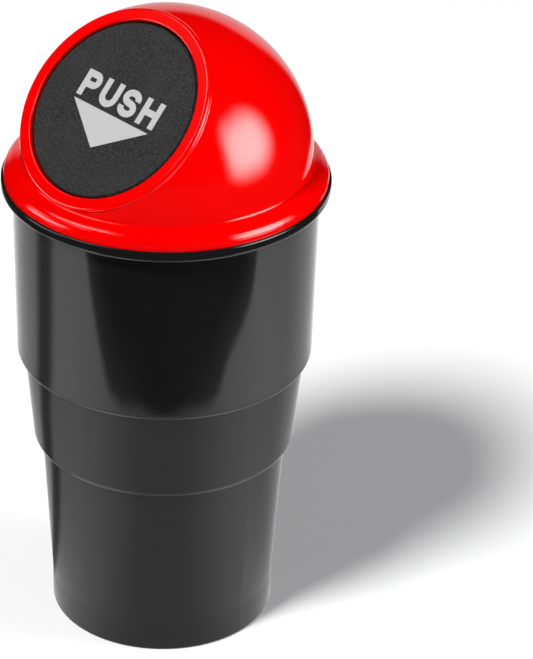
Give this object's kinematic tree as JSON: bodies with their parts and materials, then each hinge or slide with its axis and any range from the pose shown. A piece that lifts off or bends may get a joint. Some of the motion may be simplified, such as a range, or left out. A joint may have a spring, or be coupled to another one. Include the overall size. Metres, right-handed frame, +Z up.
{
  "type": "car trash bin",
  "caption": "Small waste bin that stands in a car cup holder: a stepped tapered cup under a lift-off domed lid, with a slanted round flap that is pushed in and springs shut.",
  "frame": {"origin": "centre of the foot ring's underside", "axes": "+Z up along the cup's axis; the slanted flap faces -Y and +Z; X runs along the flap's hinge"},
  "size_m": [0.08, 0.08, 0.1628],
  "materials": {
    "black_plastic": "moulded, glossy",
    "red_plastic": "moulded, polished",
    "grained_plastic": "moulded with a fine leathery grain",
    "steel": "drawn wire"
  },
  "bodies": {
    "cup": {"cup": "black_plastic"},
    "lid": {"lid_shell": "red_plastic", "hinge_pin": "steel", "return_spring": "steel"},
    "flap": {"flap": "grained_plastic"}
  },
  "joints": [
    {"name": "lid_lift", "type": "slide", "parent": "cup", "child": "lid", "axis": [0, 0, 1], "range_m": [0, 0.06]},
    {"name": "flap_hinge", "type": "hinge", "parent": "lid", "child": "flap", "pos_m": [0, 0.0004, 0.15623], "axis": [1, 0, 0], "range_deg": [0, 65], "stiffness_Nm_per_rad": 0.003, "springref_deg": -85.94, "deforming": ["return_spring"]}
  ]
}
